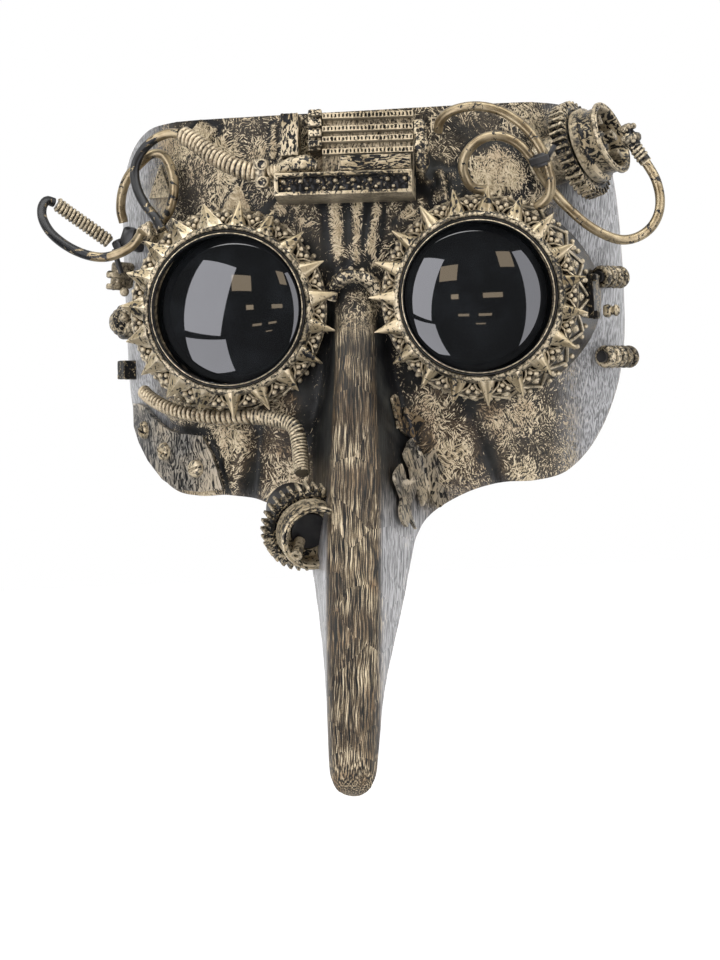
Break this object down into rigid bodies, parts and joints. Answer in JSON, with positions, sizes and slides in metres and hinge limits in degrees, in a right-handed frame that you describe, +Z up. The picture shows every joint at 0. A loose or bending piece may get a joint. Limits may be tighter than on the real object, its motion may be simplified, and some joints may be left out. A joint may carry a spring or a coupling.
{
  "type": "plague doctor mask",
  "caption": "Steampunk plague doctor half mask with a long drooping beak, spiked round goggles, forehead radiator, gear barrels and bent pipes.",
  "frame": {"origin": "middle of the plane of the rear temple edges, at the height of the lens centres, where the mask meets the wearer's head", "axes": "+Z up, -Y the way the mask looks, +X towards the viewer's right when facing it"},
  "size_m": [0.2183, 0.1407, 0.2323],
  "materials": {
    "shell_paint": "dry-brushed brass paint over black",
    "brass_trim": "aged brass paint, satin",
    "dark_trim": "black with brass dry brushing",
    "grey_plate": "gunmetal paint with brass edges",
    "black_plastic": "black, satin",
    "smoked_lens": "dark smoked acrylic, polished"
  },
  "bodies": {
    "mask": {"mask_shell": "shell_paint", "goggle_skirt_left": "brass_trim", "goggle_skirt_right": "brass_trim", "spiked_ring_left": "brass_trim", "spiked_ring_right": "brass_trim", "retaining_ring_left": "brass_trim", "retaining_ring_right": "brass_trim", "lens_left": "smoked_lens", "lens_right": "smoked_lens", "nose_bridge": "brass_trim", "radiator_block": "dark_trim", "radiator_bar_1": "brass_trim", "radiator_bar_2": "brass_trim", "radiator_bar_3": "brass_trim", "radiator_bar_4": "brass_trim", "radiator_comb": "brass_trim", "bead_tray": "brass_trim", "radiator_side_plate": "brass_trim", "radiator_inlet_elbow": "brass_trim", "inlet_clamp_nut": "dark_trim", "radiator_outlet": "brass_trim", "forehead_sleeve": "brass_trim", "temple_sleeve": "brass_trim", "black_pipe": "black_plastic", "teardrop_pipe": "brass_trim", "temple_pipe": "brass_trim", "brow_pipe": "brass_trim", "loop_pipe": "brass_trim", "cable_tie": "black_plastic", "temple_port_block": "black_plastic", "goggle_pipe_fitting": "brass_trim", "temple_clamp": "dark_trim", "temple_cap": "dark_trim", "square_bolt": "dark_trim", "upper_barrel_post": "dark_trim", "upper_cup": "brass_trim", "upper_cup_stub": "brass_trim", "pipe_knob": "dark_trim", "lower_barrel_post": "dark_trim", "lower_gear": "brass_trim", "lower_cup": "brass_trim", "lower_cup_spout": "brass_trim", "temple_bracket": "dark_trim", "bracket_lever": "brass_trim", "coil_stub_upper": "brass_trim", "coil_stub_lower": "brass_trim", "corrugated_hose": "brass_trim", "hose_elbow": "brass_trim", "ribbed_hose": "brass_trim", "cheek_plate": "grey_plate", "cheek_rivet_1": "brass_trim", "cheek_rivet_2": "brass_trim", "cheek_rivet_3": "brass_trim", "leaf_plate_upper": "grey_plate", "leaf_plate_main": "grey_plate", "leaf_plate_lower": "grey_plate", "triangle_stud": "brass_trim", "strap_lug_left": "black_plastic", "strap_lug_right": "black_plastic"},
    "upper_gear_ring": {"upper_gear": "brass_trim"}
  },
  "joints": [
    {"name": "upper_gear_spin", "type": "hinge", "parent": "mask", "child": "upper_gear_ring", "pos_m": [0.078, -0.0398, 0.0497], "axis": [0.9012, -0.3304, 0.2804], "continuous": true}
  ]
}
